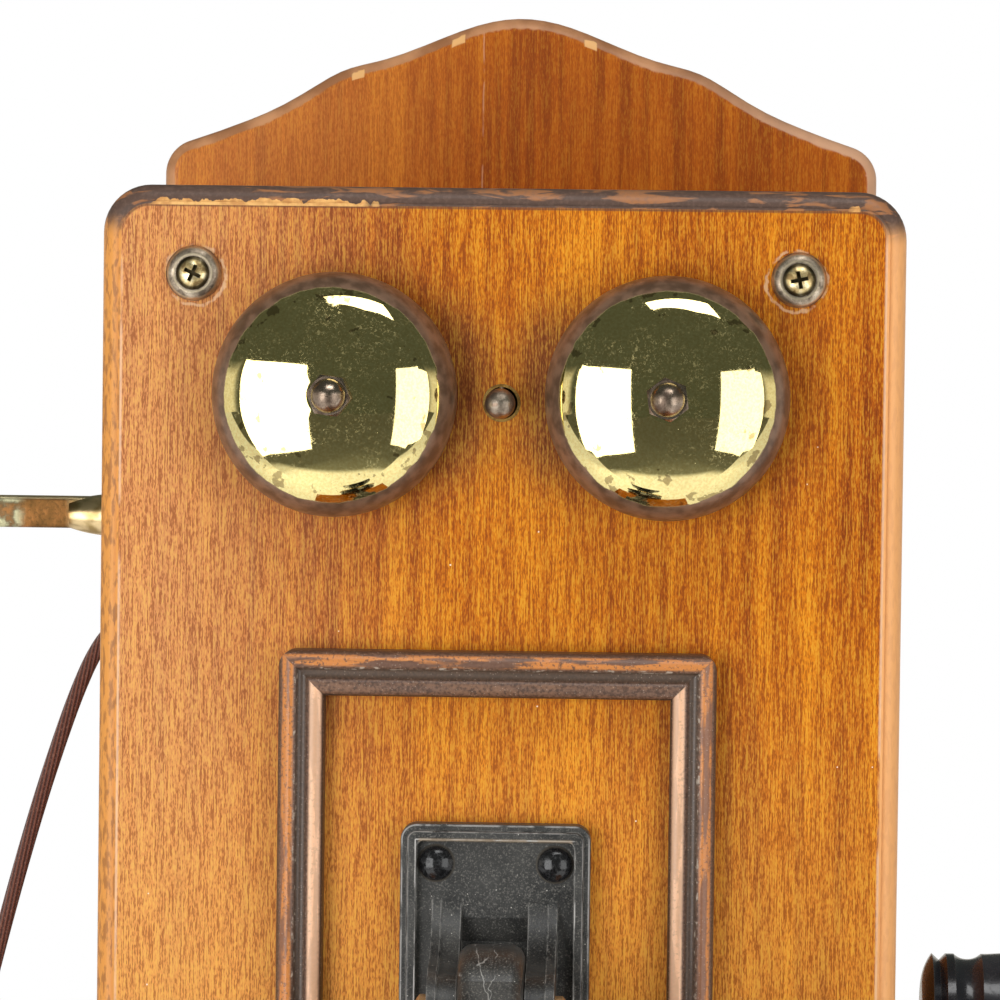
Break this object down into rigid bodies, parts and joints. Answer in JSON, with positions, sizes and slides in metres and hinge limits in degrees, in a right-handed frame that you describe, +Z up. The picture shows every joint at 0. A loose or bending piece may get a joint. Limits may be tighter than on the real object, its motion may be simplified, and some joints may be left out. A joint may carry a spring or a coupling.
{
  "type": "crank wall telephone",
  "caption": "Wooden wall telephone with gongs, a tilting mouthpiece on an arm, a receiver on a spring hook and a hand crank that turns a geared magneto.",
  "frame": {"origin": "on the wall plane behind the backboard, midway across it, level with the middle of the front panel", "axes": "+Z up the wall, +Y into the wall, +X to the right for someone who faces the telephone"},
  "size_m": [0.4107, 0.3, 0.4765],
  "materials": {
    "wood_front": "stained and lacquered, vertical grain",
    "wood_case": "stained and lacquered",
    "wood_moulding": "dark stain, worn on the beads",
    "bell_brass": "polished",
    "dark_bronze": "dark, tarnished",
    "screw_brass": "tarnished",
    "hook_brass": "aged, mottled",
    "tan_metal": "dull",
    "plain_brass": "dull",
    "grey_steel": "dull",
    "dark_iron": "dark",
    "black_moulding": "satin, dusty, chipped",
    "black_enamel": "gloss enamel",
    "black_gloss": "gloss",
    "carbon": "matt",
    "winding": "enamelled wire",
    "black_rubber": "matt",
    "brown_cloth": "braided"
  },
  "bodies": {
    "cabinet": {"arm_pivot_bolt": "tan_metal", "arm_pivot_nut": "tan_metal", "backboard": "wood_case", "bell_left": "bell_brass", "bell_nuts": "dark_bronze", "bell_posts": "grey_steel", "bell_right": "bell_brass", "bottom_board": "wood_case", "bracket_rivets": "black_enamel", "clapper_bushing": "plain_brass", "clapper_pin": "grey_steel", "cord_grommet": "black_rubber", "crank_bushing": "plain_brass", "cup_washers": "dark_bronze", "front_panel": "wood_front", "hook_brackets": "grey_steel", "hook_contacts": "plain_brass", "hook_pin": "grey_steel", "induction_coil": "winding", "magneto_frame": "dark_iron", "magneto_magnets": "dark_iron", "magneto_poles": "dark_iron", "moulding_bottom": "wood_moulding", "moulding_left": "wood_moulding", "moulding_right": "wood_moulding", "moulding_top": "wood_moulding", "panel_blocks": "wood_case", "panel_screws": "screw_brass", "receiver_cord": "brown_cloth", "ringer_coils": "winding", "ringer_frame": "dark_iron", "ringer_magnet": "dark_iron", "shelf_brackets": "wood_case", "side_left": "wood_case", "side_right": "wood_case", "terminal_strip": "plain_brass", "top_board": "wood_case", "transmitter_bracket": "black_moulding", "writing_shelf": "wood_case"},
    "clapper": {"clapper_ball": "grey_steel", "clapper_rod": "grey_steel", "clapper_armature": "dark_iron"},
    "transmitter": {"transmitter_arm": "black_moulding", "transmitter_cup": "black_enamel", "transmitter_faceplate": "plain_brass", "mouthpiece": "black_gloss", "transmitter_diaphragm": "grey_steel", "carbon_button": "carbon"},
    "receiver": {"receiver_shell": "black_gloss", "receiver_cap": "black_gloss", "receiver_diaphragm": "grey_steel", "receiver_magnet": "dark_iron", "receiver_bush": "black_rubber"},
    "hook": {"hook_lever": "hook_brass"},
    "crank": {"crank_rod": "grey_steel", "crank_wheel": "plain_brass", "handle_nut": "plain_brass"},
    "handle": {"crank_handle": "black_gloss"},
    "rotor": {"magneto_rotor": "dark_iron", "rotor_pinion": "plain_brass"}
  },
  "joints": [
    {"name": "clapper_swing", "type": "hinge", "parent": "cabinet", "child": "clapper", "pos_m": [0, -0.15, 0.1165], "axis": [0, 0, 1], "range_deg": [-27.5, 27.5]},
    {"name": "transmitter_tilt", "type": "hinge", "parent": "cabinet", "child": "transmitter", "pos_m": [0, -0.178, -0.0407], "axis": [-1, 0, 0], "range_deg": [-18, 30]},
    {"name": "receiver_lift", "type": "slide", "parent": "cabinet", "child": "receiver", "axis": [-0.9397, 0, 0.342], "range_m": [0, 0.12]},
    {"name": "hook_swing", "type": "hinge", "parent": "cabinet", "child": "hook", "pos_m": [-0.076, -0.094, 0.0842], "axis": [0, 1, 0], "range_deg": [0, 10.01], "stiffness_Nm_per_rad": 0.3, "springref_deg": 20.05},
    {"name": "crank_turn", "type": "hinge", "parent": "cabinet", "child": "crank", "pos_m": [0.098, -0.07895, -0.1047], "axis": [1, 0, 0], "continuous": true},
    {"name": "handle_spin", "type": "hinge", "parent": "crank", "child": "handle", "pos_m": [0.15, -0.07895, -0.0527], "axis": [1, 0, 0], "continuous": true},
    {"name": "rotor_spin", "type": "hinge", "parent": "cabinet", "child": "rotor", "pos_m": [0.04, -0.0436, -0.1327], "axis": [1, 0, 0], "continuous": true}
  ],
  "couplings": [
    {"joint": "hook_swing", "follows": "receiver_lift", "rad_per_m": 1.4544},
    {"joint": "rotor_spin", "follows": "crank_turn", "ratio": -4}
  ]
}
